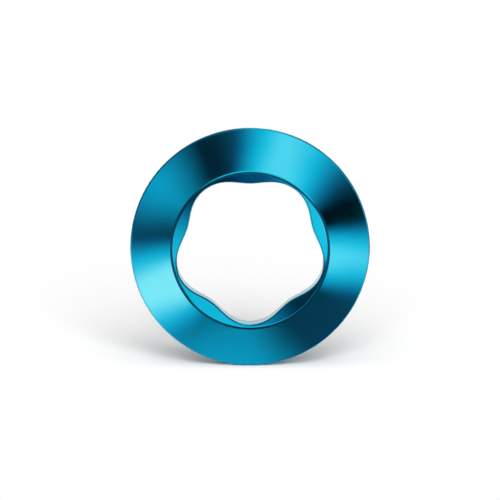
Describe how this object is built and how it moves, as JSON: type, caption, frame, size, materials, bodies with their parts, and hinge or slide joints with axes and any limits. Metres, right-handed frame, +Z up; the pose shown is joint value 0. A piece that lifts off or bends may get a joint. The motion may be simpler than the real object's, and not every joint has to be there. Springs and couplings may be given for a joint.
{
  "type": "lobed coupling ring",
  "caption": "Thin conical coupling ring in blue anodised aluminium with a rounded lip, a countersunk mouth, a flat back and a lobed through bore that turns with its shaft.",
  "frame": {"origin": "on the ring's axis, halfway through its thickness", "axes": "+Y along the ring's axis from the nose to the flat back, +Z up as the ring stands on its rim, with one lobe of the bore pointing straight down"},
  "size_m": [0.04, 0.0048, 0.04],
  "materials": {
    "blue_anodised_aluminium": "mirror-smooth turned surface, blue dyed anodising"
  },
  "bodies": {
    "root": {"coupling_ring": "blue_anodised_aluminium"}
  },
  "joints": []
}
